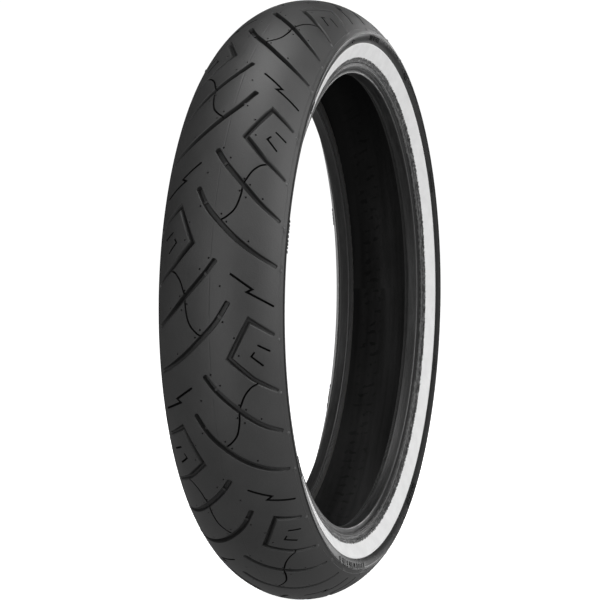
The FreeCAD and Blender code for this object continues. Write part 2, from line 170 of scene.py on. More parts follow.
def along(points, step):
    """The same open line with points about a step apart."""
    out = [points[0]]
    for a, b in zip(points, points[1:]):
        n = max(1, round(math.dist(a, b) / step))
        out += [(a[0] + (b[0] - a[0]) * i / n, a[1] + (b[1] - a[1]) * i / n) for i in range(1, n + 1)]
    return out


# --------------------
# Camera, at the photograph's angle
# --------------------
CAMERA_TURN, CAMERA_RISE = math.radians(18.24), math.radians(2.75)
CAMERA_DISTANCE = 7.842 * OUTER_R * MM
SENSOR = 36.0
LENS = 3.889 * SENSOR
SHIFT = (-0.0228, 0.0)
CLIP = (0.05, 50)


def make_camera():
    data = bpy.data.cameras.new("camera")
    data.sensor_width = SENSOR
    data.lens = LENS
    data.shift_x, data.shift_y = SHIFT
    data.clip_start, data.clip_end = CLIP
    camera = bpy.data.objects.new("camera", data)
    bpy.context.scene.collection.objects.link(camera)
    back = Vector(
        (
            math.cos(CAMERA_TURN) * math.cos(CAMERA_RISE),
            math.sin(CAMERA_TURN) * math.cos(CAMERA_RISE),
            math.sin(CAMERA_RISE),
        )
    )
    camera.location = back * CAMERA_DISTANCE
    camera.rotation_mode = "QUATERNION"
    camera.rotation_quaternion = (-back).to_track_quat("-Z", "Y")
    bpy.context.scene.camera = camera


# --------------------
# Mesh helpers
# --------------------
SHARP = math.radians(33)


def add_piece(name, vertices, faces, material, replaced=(), sharp=SHARP):
    """A finished piece: smooth shaded with its creases kept, riding on the tyre."""
    mesh = bpy.data.meshes.new(name)
    mesh.from_pydata(vertices, [], faces)
    mesh.validate()
    mesh.polygons.foreach_set("use_smooth", [True] * len(mesh.polygons))
    mesh.set_sharp_from_angle(angle=sharp)
    mesh.materials.append(material)
    piece = bpy.data.objects.new(name, mesh)
    bpy.context.scene.collection.objects.link(piece)
    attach(piece, BODY)
    if replaced:
        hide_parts(*replaced)
    return piece


def place(y, r, turn):
    """A point of the tyre in metres, from millimetres and an angle about the axle."""
    return (r * math.cos(turn) * MM, y * MM, r * math.sin(turn) * MM)


def swept_ring(profile, steps, side, shift=None):
    """Vertices and faces of a closed profile turned about the axle, on the side +1 or -1.
    shift(index, turn) may move a point of the profile, as (dy, dr) in millimetres."""
    count = len(profile)
    vertices, faces = [], []
    for k in range(steps):
        turn = 2 * math.pi * k / steps
        for i, (y, r) in enumerate(profile):
            dy, dr = shift(i, turn) if shift else (0.0, 0.0)
            vertices.append(place(side * (y + dy), r + dr, turn))
    for k in range(steps):
        here, there = k * count, (k + 1) % steps * count
        for i in range(count):
            j = (i + 1) % count
            face = (here + i, here + j, there + j, there + i)
            faces.append(face if side > 0 else face[::-1])
    return vertices, faces


# --------------------
# The tread's pattern, for one pitch of the right-hand half; the left half is its mirror image,
# half a pitch on. A point is a share of the half tread's width from the middle, and a share of
# the pitch round the tyre.
# --------------------
PITCHES = 9
PITCH = 360 / PITCHES
PHASE = -0.8
MAIN_GROOVES = (
    ((-0.07, -0.245), (0.08, -0.312), (0.34, -0.402), (0.61, -0.485), (0.87, -0.543)),
    ((-0.25, -0.425), (-0.10, -0.508), (0.08, -0.574), (0.34, -0.653), (0.61, -0.714), (0.87, -0.757)),
)
HOOKED_GROOVE = ((0.85, -0.071), (0.52, 0.0), (0.26, -0.168), (0.56, -0.267), (0.87, -0.338))
ZIGZAG_SIPE = ((0.28, 0.198), (0.56, 0.134), (0.49, 0.122), (0.85, 0.060))
CURVED_SIPE = (
    (0.61, -0.287), (0.52, -0.300), (0.43, -0.333), (0.37, -0.375), (0.34, -0.402), (0.325, -0.455),
    (0.275, -0.515), (0.18, -0.553), (0.07, -0.577),
)
DASH_SIPE = ((0.63, -0.114), (0.79, -0.145))
HOOK_SIPE = ((0.58, -0.145), (0.54, -0.162), (0.69, -0.208))
VENTS = (
    (0.342, -0.375), (0.425, -0.400), (0.305, -0.434), (0.392, -0.461), (0.608, -0.455), (0.110, -0.543),
    (0.183, -0.577), (-0.190, -0.508), (-0.150, -0.355), (0.125, -0.283), (0.480, -0.656),
    (0.010, -0.236), (0.333, -0.077), (0.383, -0.155),
)
NUBS = ((0.905, -0.353), (0.955, -0.568), (0.955, -0.774), (0.925, -0.096))

# Which main groove each wear bar crosses, and the share of the way along it.
WEAR_BARS = ((0, 0.17), (1, 0.14))

# The unrolled tread: a degree round the tyre in millimetres, and its whole length.
CHART = math.radians(1) * OUTER_R
LENGTH = 360 * CHART

# Depths and half widths. A wall is a list of (how far outside the half width, height).
FULL_DEPTH_SHARE, GROOVE_END_SHARE = 0.45, 0.87
GROOVE_DEPTH, GROOVE_END_DEPTH = 5.0, 1.2
MAIN_HALVES, HOOKED_HALVES = (2.75, 2.2), (2.7, 2.1)
ZIGZAG_HALF, CURVED_HALF, SHORT_HALF = 0.95, 0.75, 0.8
VENT_HALF, NUB_HALF = 0.95, 1.4
GROOVE_WALLS = ((1.1, 0.0), (0.4, -0.04), (0.0, -0.4), (-1.0, -GROOVE_DEPTH))
HOOK_WALLS = ((1.2, 0.0), (0.4, -0.06), (-0.2, -0.6), (-1.1, -2.6), (-1.5, -GROOVE_DEPTH))
SIPE_WALLS = ((0.7, 0.0), (0.2, -0.05), (-0.15, -0.6), (-0.3, -3.2))
VENT_WALLS = ((0.15, 0.0), (-0.3, -1.4))
NUB_WALLS = ((0.4, 0.0), (-0.1, 0.45), (-0.8, 0.7))
PARTING_LINE = ((-1.1, 0.0), (-0.35, 0.0), (0.0, -0.16), (0.35, 0.0), (1.1, 0.0))
PARTING_AT = 1.0
STEP_SHARE, STEP_WIDTH, STEP_HEIGHT = 0.935, 0.5, 0.45


def smooth_line(points, step):
    """A curve through the points (Catmull-Rom), with points about a step apart."""
    ends = [2 * points[0] - points[1]] + list(points) + [2 * points[-1] - points[-2]]
    out = []
    for i in range(1, len(ends) - 2):
        p0, p1, p2, p3 = ends[i - 1 : i + 3]
        n = max(1, math.ceil(np.linalg.norm(p2 - p1) / step))
        for k in range(n):
            t = k / n
            out.append(
                0.5 * (2 * p1 + (p2 - p0) * t + (2 * p0 - 5 * p1 + 4 * p2 - p3) * t**2
                       + (3 * p1 - p0 - 3 * p2 + p3) * t**3)
            )
    return out + [points[-1]]


def straight_line(points, step):
    out = [points[0]]
    for a, b in zip(points, points[1:]):
        n = max(1, math.ceil(np.linalg.norm(b - a) / step))
        out += [a + (b - a) * k / n for k in range(1, n + 1)]
    return out


class Cut:
    """One groove, sipe, vent or raised line: a path, its half widths, and its walls."""

    def __init__(self, path, halves, walls, depths=None):
        self.path = np.array(path)
        self.halves = np.array(halves)
        self.walls = walls
        self.depths = np.ones(len(self.path)) if depths is None else np.array(depths)

    def moved(self, mirror, degrees):
        return Cut(self.path * (mirror, 1) + (0, degrees * CHART), self.halves, self.walls, self.depths)

    def loop(self, offset):
        """A closed line round the path, at the half width plus an offset, and its depth shares."""
        path, reach = self.path, self.halves + offset
        if len(path) == 1:
            turns = np.arange(8) * (2 * math.pi / 8)
            circle = [path[0] + reach[0] * np.array((math.cos(t), math.sin(t))) for t in turns]
            return circle, [self.depths[0]] * 8
        runs = np.diff(path, axis=0)
        runs /= np.linalg.norm(runs, axis=1)[:, None]
        normals = np.stack([-runs[:, 1], runs[:, 0]], 1)
        mitres = [normals[0]]
        for a, b in zip(normals, normals[1:]):
            both = (a + b) / np.linalg.norm(a + b)
            mitres.append(both / max(0.4, both @ a))
        mitres = np.array(mitres + [normals[-1]])
        left = list(path + mitres * reach[:, None])
        right = list(path - mitres * reach[:, None])
        far, near = self.cap(-1, runs[-1], reach[-1]), self.cap(0, -runs[0], reach[0])
        shares = list(self.depths)
        shares += [shares[-1]] * len(far) + shares[::-1] + [shares[0]] * len(near)
        return left + far + right[::-1] + near, shares

    def cap(self, end, heading, reach):
        steps = 5 if reach > 1 else 3
        side = np.array((-heading[1], heading[0]))
        angles = [math.pi / 2 - math.pi * k / steps for k in range(1, steps)]
        bulge = 1.0 if reach < 1 else 0.55
        return [
            self.path[end] + reach * (side * math.sin(a) + bulge * heading * math.cos(a))
            for a in angles
        ]

    def heights(self, points):
        """The cut's height at each point, worked out from how far the point is from the path."""
        best = np.full(len(points), 99.0)
        share = np.full(len(points), self.depths[0])
        if len(self.path) == 1:
            best = np.linalg.norm(points - self.path[0], axis=1) - self.halves[0]
        for i in range(len(self.path) - 1):
            a, b = self.path[i], self.path[i + 1]
            run = b - a
            t = np.clip(((points - a) @ run) / (run @ run), 0, 1)
            near = a + t[:, None] * run
            half = self.halves[i] + t * (self.halves[i + 1] - self.halves[i])
            off = np.linalg.norm(points - near, axis=1) - half
            share = np.where(off < best, self.depths[i] + t * (self.depths[i + 1] - self.depths[i]), share)
            best = np.minimum(best, off)
        offsets = [w[0] for w in self.walls][::-1]
        return share * np.interp(best, offsets, [w[1] for w in self.walls][::-1])

    def box(self):
        edge = self.halves.max() + self.walls[0][0] + 2.5
        return self.path.min(0) - edge, self.path.max(0) + edge


def spot(share, degrees):
    return np.array((share * HALF_TREAD, degrees * CHART))


def spots(points):
    return [spot(share, turn * PITCH) for share, turn in points]


def deep_cut(path, half, end_half, walls=GROOVE_WALLS):
    """A groove that narrows and runs out towards the shoulder, as the design's grooves do."""
    shares = np.abs(np.array(path)[:, 0]) / HALF_TREAD
    past = np.clip((shares - FULL_DEPTH_SHARE) / (GROOVE_END_SHARE - FULL_DEPTH_SHARE), 0, 1)
    depths = 1 + (GROOVE_END_DEPTH / GROOVE_DEPTH - 1) * past
    return Cut(path, half + (end_half - half) * past, walls, depths)


def plain_cut(points, half, walls, smooth=False, step=6.0):
    path = (smooth_line if smooth else straight_line)(spots(points), step)
    return Cut(path, [half] * len(path), walls)


def one_pitch():
    cuts = [deep_cut(smooth_line(spots(points), 5.0), *MAIN_HALVES) for points in MAIN_GROOVES]
    cuts.append(deep_cut(straight_line(spots(HOOKED_GROOVE), 6.0), *HOOKED_HALVES, HOOK_WALLS))
    cuts.append(plain_cut(ZIGZAG_SIPE, ZIGZAG_HALF, SIPE_WALLS))
    cuts.append(plain_cut(CURVED_SIPE, CURVED_HALF, SIPE_WALLS, smooth=True, step=3.0))
    cuts.append(plain_cut(DASH_SIPE, SHORT_HALF, SIPE_WALLS))
    cuts.append(plain_cut(HOOK_SIPE, SHORT_HALF, SIPE_WALLS))
    cuts += [plain_cut((point,), VENT_HALF, VENT_WALLS) for point in VENTS]
    cuts += [plain_cut((point,), NUB_HALF, NUB_WALLS) for point in NUBS]
    return cuts


def whole_pattern():
    """Every cut of the tread, with those across the seam at 0 and 360 degrees given twice."""
    cuts = []
    for turn in range(-1, PITCHES + 2):
        for cut in one_pitch():
            cuts.append(cut.moved(1, turn * PITCH + PHASE))
            cuts.append(cut.moved(-1, (turn + 0.5) * PITCH + PHASE))
    return [c for c in cuts if c.box()[1][1] > 0 and c.box()[0][1] < LENGTH]


def step_height(across):
    """The shoulder's fine moulded step: the rubber outside it lies a little lower."""
    past = (np.abs(across) - STEP_SHARE * HALF_TREAD) / STEP_WIDTH
    return -STEP_HEIGHT * np.clip(past, 0, 1)


def chart_grid(step_across, step_round, clear_of=()):
    """Spread points over the unrolled tread, kept away from the cuts."""
    columns = round(2 * HALF_TREAD / step_across)
    rows = round(LENGTH / step_round)
    across = np.linspace(-HALF_TREAD, HALF_TREAD, columns + 1)[1:-1]
    step = LENGTH / rows
    points = [
        (x + (0.5 * step_across if j % 2 else 0.0) * (i not in (0, len(across) - 1)), j * step)
        for j in range(1, rows)
        for i, x in enumerate(across)
        if x + 0.5 * step_across < HALF_TREAD
    ]
    points = np.array(points)
    keep = np.abs(np.abs(points[:, 0]) - STEP_SHARE * HALF_TREAD) > 1.5
    keep &= np.abs(points[:, 0] - PARTING_AT) > 2.0
    for cut in clear_of:
        low, high = cut.box()
        inside = np.all((points > low) & (points < high), axis=1) & keep
        if inside.any():
            index = np.nonzero(inside)[0]
            spread = Cut(cut.path, cut.halves, ((2.2, 1.0), (2.1, 0.0)))
            keep[index[spread.heights(points[index]) < 0.5]] = False
    return points[keep]


# How far apart the chart's points are, and what each triangle shows. It lies in a groove or a sipe
# when its lowest corner is below the floor's mark and its highest below the lip's.
RIM_STEP, GRID_STEP, SEAM_POINTS = 5.5, 6.0, 28
SHOWS_GROOVE, SHOWS_SIPE, SHOWS_NUB = 1, 2, 3
FLOOR_MARK, LIP_MARK, NUB_MARK = -0.5, -0.04, 0.3


def build_tread_chart():
    """The unrolled tread: points, their heights, triangles, and the material each triangle shows."""
    cuts = whole_pattern()
    points, edges, own = [], [], []

    def add_line(line, heights, closed):
        first = len(points)
        points.extend(line)
        own.extend(heights)
        edges.extend((first + i, first + i + 1) for i in range(len(line) - 1))
        if closed:
            edges.append((first + len(line) - 1, first))

    rows = round(LENGTH / RIM_STEP)
    ticks = [LENGTH * j / rows for j in range(rows + 1)]
    widths = np.linspace(-HALF_TREAD, HALF_TREAD, SEAM_POINTS)[1:-1]
    border = [np.array((-HALF_TREAD, v)) for v in ticks] + [np.array((u, LENGTH)) for u in widths]
    border += [np.array((HALF_TREAD, v)) for v in ticks[::-1]] + [np.array((-u, 0.0)) for u in widths]
    add_line(border, [0.0] * len(border), True)
    for sign in (-1, 1):
        for edge in (0.0, STEP_WIDTH):
            u = sign * (STEP_SHARE * HALF_TREAD + edge)
            add_line([np.array((u, v)) for v in ticks], [0.0] * len(ticks), False)
    for offset, height in PARTING_LINE:
        line = [np.array((PARTING_AT + offset, v)) for v in ticks]
        add_line(line, [height] * len(ticks), False)
    owner = [-1] * len(points)
    for number, cut in enumerate(cuts):
        for offset, height in cut.walls:
            line, shares = cut.loop(offset)
            add_line(line, [height * share for share in shares], True)
            owner.extend([number] * len(line))
    grid = chart_grid(GRID_STEP, GRID_STEP, cuts)
    points.extend(grid)
    own.extend([0.0] * len(grid))
    owner.extend([-1] * len(grid))

    found = delaunay_2d_cdt([Vector(p) for p in points], edges, [], 0, 1e-5, True)
    flat, triangles, sources = found[0], found[2], found[3]
    flat = np.array([tuple(p) for p in flat])
    came_from = [s[0] if s else -1 for s in sources]
    source_height = np.array([own[s] if s >= 0 else 0.0 for s in came_from])
    source_owner = np.array([owner[s] if s >= 0 else -1 for s in came_from])
    sunk = np.minimum(source_height, 0.0)
    raised = np.maximum(source_height, 0.0)
    narrow = np.array([cut.walls in (SIPE_WALLS, VENT_WALLS) for cut in cuts] + [False])
    slit = np.where(narrow[source_owner], source_height, 0.0)
    for number, cut in enumerate(cuts):
        low, high = cut.box()
        near = np.all((flat > low) & (flat < high), axis=1) & (source_owner != number)
        index = np.nonzero(near)[0]
        if len(index):
            height = cut.heights(flat[index])
            sunk[index] = np.minimum(sunk[index], height)
            raised[index] = np.maximum(raised[index], height)
            if narrow[number]:
                slit[index] = np.minimum(slit[index], height)
    heights = np.where(sunk < -1e-6, sunk, raised) + step_height(flat[:, 0])
    triangles = np.array(triangles)
    shown = np.zeros(len(triangles), dtype=np.int32)
    slit[slit > sunk + 1e-6] = 0.0
    for number, depths in ((SHOWS_GROOVE, sunk), (SHOWS_SIPE, slit)):
        corners = depths[triangles]
        shown[(corners.min(1) < FLOOR_MARK) & (corners.max(1) < LIP_MARK)] = number
    shown[raised[triangles].max(1) > NUB_MARK] = SHOWS_NUB
    middle = flat[triangles].mean(1)
    keep = (np.abs(middle[:, 0]) < HALF_TREAD) & (middle[:, 1] > 0) & (middle[:, 1] < LENGTH)
    return flat, heights, triangles[keep], shown[keep]


def tread_surface(flat, heights):
    """Puts points of the unrolled tread on the crown."""
    lean = flat[:, 0] / CROWN_RADIUS
    radius = CROWN_RADIUS + heights
    y = radius * np.sin(lean)
    r = CROWN_CENTRE + radius * np.cos(lean)
    turn = flat[:, 1] / CHART * math.pi / 180
    return np.stack([r * np.cos(turn), y, r * np.sin(turn)], 1) * MM


def make_tread(material, others):
    """The tread as one closed piece; grooves and sipes show painted shade, and nubs a paler colour."""
    flat, heights, triangles, shown = build_tread_chart()
    outer = tread_surface(flat, heights)
    under = inner_sheet(flat)
    vertices = [tuple(p) for p in outer]
    faces = [tuple(int(i) for i in t) for t in triangles]
    first = len(vertices)
    vertices += [tuple(p) for p in under[0]]
    faces += [tuple(first + int(i) for i in t[::-1]) for t in under[1]]
    piece = add_piece("tread", vertices, faces, material, ("tread_cap",))
    for other in others:
        piece.data.materials.append(other)
    numbers = np.zeros(len(piece.data.polygons), dtype=np.int32)
    numbers[: len(shown)] = shown
    piece.data.polygons.foreach_set("material_index", numbers)
    weld(piece, WELD_GAP)
    close_rims(piece)
    return piece


UNDER_STEP, UNDER_POINTS = 14, 12
WELD_GAP = 2e-6


def inner_sheet(flat):
    """The tread's underside, with the same points along both edges as the outside."""
    at_edge = np.abs(np.abs(flat[:, 0]) - HALF_TREAD) < 1e-4
    edge_points = flat[at_edge & (flat[:, 1] >= -1e-4) & (flat[:, 1] <= LENGTH + 1e-4)]
    rows = round(LENGTH / UNDER_STEP)
    widths = np.linspace(-HALF_TREAD, HALF_TREAD, UNDER_POINTS)[1:-1]
    inside = [(u, LENGTH * j / rows) for j in range(rows + 1) for u in widths]
    points = [Vector(p) for p in edge_points] + [Vector(p) for p in inside]
    found = delaunay_2d_cdt(points, [], [], 0, 1e-5, True)
    sheet = np.array([tuple(p) for p in found[0]])
    return tread_surface(sheet, np.full(len(sheet), -CAP_THICKNESS)), found[2]


def weld(piece, distance):
    """Joins points that lie within a distance of each other, such as those along the seam."""
    work = bmesh.new()
    work.from_mesh(piece.data)
    bmesh.ops.remove_doubles(work, verts=work.verts, dist=distance)
    work.to_mesh(piece.data)
    work.free()


def close_rims(piece):
    """Joins the tread's outside to its underside along both shoulders."""
    work = bmesh.new()
    work.from_mesh(piece.data)
    open_edges = [e for e in work.edges if e.is_boundary]
    for sign in (-1, 1):
        rims = [e for e in open_edges if all(v.co.y * sign > 0 for v in e.verts)]
        bmesh.ops.bridge_loops(work, edges=rims)
    bmesh.ops.recalc_face_normals(work, faces=work.faces)
    work.to_mesh(piece.data)
    work.free()
    piece.data.polygons.foreach_set("use_smooth", [True] * len(piece.data.polygons))
    piece.data.set_sharp_from_angle(angle=SHARP)


# --------------------
# Sidewalls, stripes, bead covers and the liner
# --------------------
RING_STEPS = 360
BULGE_CHORD = math.hypot(STRIPE_INSET, STRIPE_DROP)
BULGE_DEPTH = math.sqrt(BULGE_RADIUS**2 - BULGE_CHORD**2 / 4)
BULGE = (
    HALF_WIDTH - STRIPE_INSET / 2 - BULGE_DEPTH * STRIPE_DROP / BULGE_CHORD,
    SHOULDER_R - STRIPE_DROP / 2 + BULGE_DEPTH * STRIPE_INSET / BULGE_CHORD,
)
CROWN = (0.0, CROWN_CENTRE)
SIDE = (SIDE_Y, SIDE_R)
BEND = (BEND_Y, WRAP_TOP)
# How far the stripe's ring laps down over the scuffed band, and the moulded ribs: (share of the
# bulge, height) at the shoulder, (turn in degrees, height) round the heel, and (rise, half width,
# height) up the wall, with the crease at the heel as a depth and two rises.
FOOT_LAP, STRIPE_PROUD, STRIPE_BEVEL = 3.6, 0.2, 0.4
SHOULDER_RIB = ((0.80, 0.0), (0.84, 0.45), (0.92, 0.45), (0.95, 0.0), (1.0, 0.0))
HEEL_RIBS = ((0, 0.0), (30, 0.0), (35, 0.35), (43, 0.35), (48, -0.3), (54, -0.8), (90, -0.8))
RIM_RIBS = ((3.7, 0.4, 0.35), (6.3, 0.3, 0.15))
RIB_FOOT = 0.3
CREASE_DEPTH, CREASE_RISES = 0.8, (0.6, 1.3)
LIP = 0.3


def with_ribs(line, ribs):
    """A line up the sidewall, given as rises, with small moulded ribs (rise, half width, height)."""
    points = [(rise, 0.0) for rise in line]
    for rise, half, height in ribs:
        points += [(rise - half - RIB_FOOT, 0.0), (rise - half, -height)]
        points += [(rise + half, -height), (rise + half + RIB_FOOT, 0.0)]
    return [on_wall(depth, rise) for rise, depth in sorted(points)]


def bulge_point(share, height=0.0):
    """A point of the bulge between the stripe (0) and the shoulder (1)."""
    start, stop = on_wall(0, STRIPE_TOP), on_crown(CROWN_RADIUS, EDGE_ANGLE)
    a = math.atan2(start[1] - BULGE[1], start[0] - BULGE[0])
    b = math.atan2(stop[1] - BULGE[1], stop[0] - BULGE[0])
    t, reach = a + (b - a) * share, BULGE_RADIUS + height
    return (BULGE[0] + reach * math.cos(t), BULGE[1] + reach * math.sin(t))


def sidewall_profile():
    """The sidewall's section, round its outside and back along the plies."""
    foot = STRIPE_FOOT - FOOT_LAP
    lower = [on_wall(0, STRIP_RISE), on_wall(0, foot - 0.01)]
    bulge = [bulge_point(i / 12) for i in range(10)]
    bulge += [bulge_point(share, height) for share, height in SHOULDER_RIB]
    outside = lower + [on_wall(STRIPE_DEPTH, foot), on_wall(STRIPE_DEPTH, STRIPE_TOP)] + bulge
    inside = arc(CROWN, on_crown(BASE_FLOOR, EDGE_ANGLE), on_crown(BASE_FLOOR, STRIP_ANGLE), 3)
    inside += arc(CROWN, on_crown(CARCASS, STRIP_ANGLE), on_crown(CARCASS, SIDE_ANGLE), 2)
    inside += arc(SIDE, on_crown(CARCASS, SIDE_ANGLE), side_point(0), 8)
    inside += [on_wall(filler_depth(), TURN_UP), on_wall(COVER, TURN_UP), on_wall(COVER, STRIP_RISE)]
    return thinned(outside + inside)


def stripe_profile():
    """The stripe's section: a shallow bevelled slab let into the sidewall."""
    foot = STRIPE_FOOT - FOOT_LAP
    ends = [on_wall(-STRIPE_PROUD, foot + STRIPE_BEVEL), on_wall(-STRIPE_PROUD, STRIPE_TOP - STRIPE_BEVEL)]
    face = [on_wall(0, foot)] + along(ends, 2.0) + [on_wall(0, STRIPE_TOP)]
    back = [on_wall(STRIPE_DEPTH, STRIPE_TOP), on_wall(STRIPE_DEPTH, foot)]
    return thinned(face + back)


def heel_point(turn, height):
    """A point of the heel's rounding, from the seat (0) up to the wall (90 degrees)."""
    reach = HEEL_RADIUS + height
    return (HEEL_Y - HEEL_RADIUS + reach * math.sin(turn), HEEL_R - reach * math.cos(turn))


def strip_profile():
    """The rubber over the bead: toe, seat, heel, rim line and wall, and a lip over the liner's end."""
    toe = [(TOE_Y - LIP, SEAT_R - TOE_LIP + 0.5), (TOE_Y + LIP, SEAT_R - TOE_LIP), (TOE_Y + TOE_LAND, SEAT_R)]
    heel = [heel_point(math.radians(turn), height) for turn, height in HEEL_RIBS]
    up = [on_wall(CREASE_DEPTH, rise) for rise in CREASE_RISES] + with_ribs((2.0, STRIP_RISE), RIM_RIBS)
    back = [on_wall(STRIP, STRIP_RISE), above_heel(STRIP), (HEEL_Y - STRIP, SEAT_R + STRIP)]
    lip = [(TOE_Y + LIP, SEAT_R + STRIP), (TOE_Y + LIP, SEAT_R + COVER + 0.8)]
    lip += [(TOE_Y - LIP, SEAT_R + COVER + 0.6)]
    return thinned(toe + heel + up + back + lip)


def liner_line(depth):
    """The half line of a layer inside the plies, from the crown's middle to the bead."""
    top = on_crown(CARCASS - depth, 0)
    shoulder = on_crown(CARCASS - depth, SIDE_ANGLE)
    line = arc(CROWN, top, shoulder, 30)
    line += arc(SIDE, shoulder, side_point(depth), 8)
    line += arc(BEND, bead_point(depth), (WRAP_INNER_Y - depth, WRAP_TOP), 8)
    return line + [(WRAP_INNER_Y - depth, SEAT_R + COVER)]


def liner_profile():
    """The liner's whole inner line from left to right, and its outer line back again."""
    inner = thinned(liner_line(PLIES + LINER))
    outer = thinned(liner_line(PLIES))
    half = [(y, r) for y, r in inner if y > 0]
    inner_whole = [(-y, r) for y, r in half[::-1]] + [inner[0]] + half
    half = [(y, r) for y, r in outer if y > 0]
    outer_whole = half[::-1] + [outer[0]] + [(-y, r) for y, r in half]
    return inner_whole, outer_whole


def make_sides(looks):
    """Both sidewalls, stripes and bead covers."""
    for side, name in ((1, "right"), (-1, "left")):
        vertices, faces = swept_ring(sidewall_profile(), RING_STEPS, side)
        add_piece(f"sidewall_skin_{name}", vertices, faces, looks["sidewall"],
                  (f"sidewall_{name}",))
        vertices, faces = swept_ring(stripe_profile(), RING_STEPS, side)
        add_piece(f"stripe_face_{name}", vertices, faces, looks["stripe"],
                  (f"white_stripe_{name}",))
        vertices, faces = swept_ring(strip_profile(), RING_STEPS, side)
        add_piece(f"bead_cover_{name}", vertices, faces, looks["bead"],
                  (f"rim_strip_{name}",))


BLOCK_FACES = ((0, 3, 2, 1), (4, 5, 6, 7), (0, 1, 5, 4), (1, 2, 6, 5), (2, 3, 7, 6), (3, 0, 4, 7))


def add_blocks(name, blocks, material):
    vertices, faces = [], []
    for corners in blocks:
        first = len(vertices)
        vertices += corners
        faces += [tuple(first + i for i in face) for face in BLOCK_FACES]
    return add_piece(name, vertices, faces, material, sharp=math.radians(20))


# Plain moulded bars on the shoulder band: where each group starts (degrees), how many bars, their
# foot and length as shares of the band, and how much wider its bars and its gaps are than usual.
USUAL, BROAD = (1.0, 1.0), (1.5, 1.8)
MARK_GROUPS = (
    (77.0, 2, 0.30, 0.30, USUAL), (90.0, 10, 0.30, 0.42, USUAL), (118.0, 3, 0.30, 0.30, USUAL),
    (150.0, 8, 0.30, 0.42, USUAL), (196.0, 5, 0.30, 0.42, USUAL), (231.0, 9, 0.30, 0.36, USUAL),
    (274.0, 6, 0.42, 0.54, BROAD), (283.0, 8, 0.42, 0.54, BROAD), (325.0, 6, 0.30, 0.42, USUAL),
    (12.0, 9, 0.30, 0.42, USUAL), (44.0, 4, 0.30, 0.30, USUAL),
)
MARK_HEIGHT, MARK_SINK = 0.75, 0.3
BAR_WIDTHS, BAR_GAPS = (0.28, 0.42, 0.6), (0.3, 0.3, 0.5)


def make_marks(material):
    """Rows of plain bars on both shoulder bands, of uneven widths and lengths."""
    chance = random.Random(5)
    for side, name in ((1, "right"), (-1, "left")):
        blocks = []
        for start, count, foot, length, (wider, further) in MARK_GROUPS:
            at = start
            for _ in range(count):
                wide = chance.choice(BAR_WIDTHS) * wider
                low = foot + chance.choice((0.0, 0.0, 0.06))
                high = low + length * chance.choice((1.0, 1.0, 0.6))
                turns = [math.radians(side * at), math.radians(side * (at + wide))]
                corners = []
                for height in (-MARK_SINK, MARK_HEIGHT):
                    for share, turn in ((low, turns[0]), (low, turns[1]), (high, turns[1]), (high, turns[0])):
                        y, r = bulge_point(share, height)
                        corners.append(place(side * y, r, turn))
                blocks.append(corners)
                at += wide + chance.choice(BAR_GAPS) * further
        add_blocks(f"moulded_bars_{name}", blocks, material)


WEAR_BAR_LENGTH, WEAR_BAR_WIDTH, WEAR_BAR_HEIGHT, WEAR_BAR_SINK = 2.4, 5.2, 1.3, 0.3
# The corners of a square with sides of 1.
SQUARE = ((-0.5, -0.5), (0.5, -0.5), (0.5, 0.5), (-0.5, 0.5))


def make_wear_bars(material):
    """Low bars across the main grooves that show when the tread is worn out."""
    blocks = []
    for turn in range(PITCHES):
        for mirror, start in ((1, turn * PITCH + PHASE), (-1, (turn + 0.5) * PITCH + PHASE)):
            for number, share in WEAR_BARS:
                path = np.array(smooth_line(spots(MAIN_GROOVES[number]), 2.0))
                at = round(share * (len(path) - 1))
                run = path[at + 1] - path[at]
                run /= np.linalg.norm(run)
                across = np.array((-run[1], run[0]))
                flat = [path[at] + a * run * WEAR_BAR_LENGTH + b * across * WEAR_BAR_WIDTH for a, b in SQUARE]
                flat = np.array(flat) * (mirror, 1) + (0, start * CHART)
                corners = []
                for height in (-GROOVE_DEPTH - WEAR_BAR_SINK, WEAR_BAR_HEIGHT - GROOVE_DEPTH):
                    corners += [tuple(p) for p in tread_surface(flat, np.full(4, height))]
                blocks.append(corners)
    add_blocks("wear_bars", blocks, material)


def make_liner(material):
    """The air-tight liner inside the plies."""
    inner, outer = liner_profile()
    vertices, faces = swept_ring(inner + outer, RING_STEPS, 1)
    add_piece("liner_skin", vertices, faces, material, ("inner_liner",))


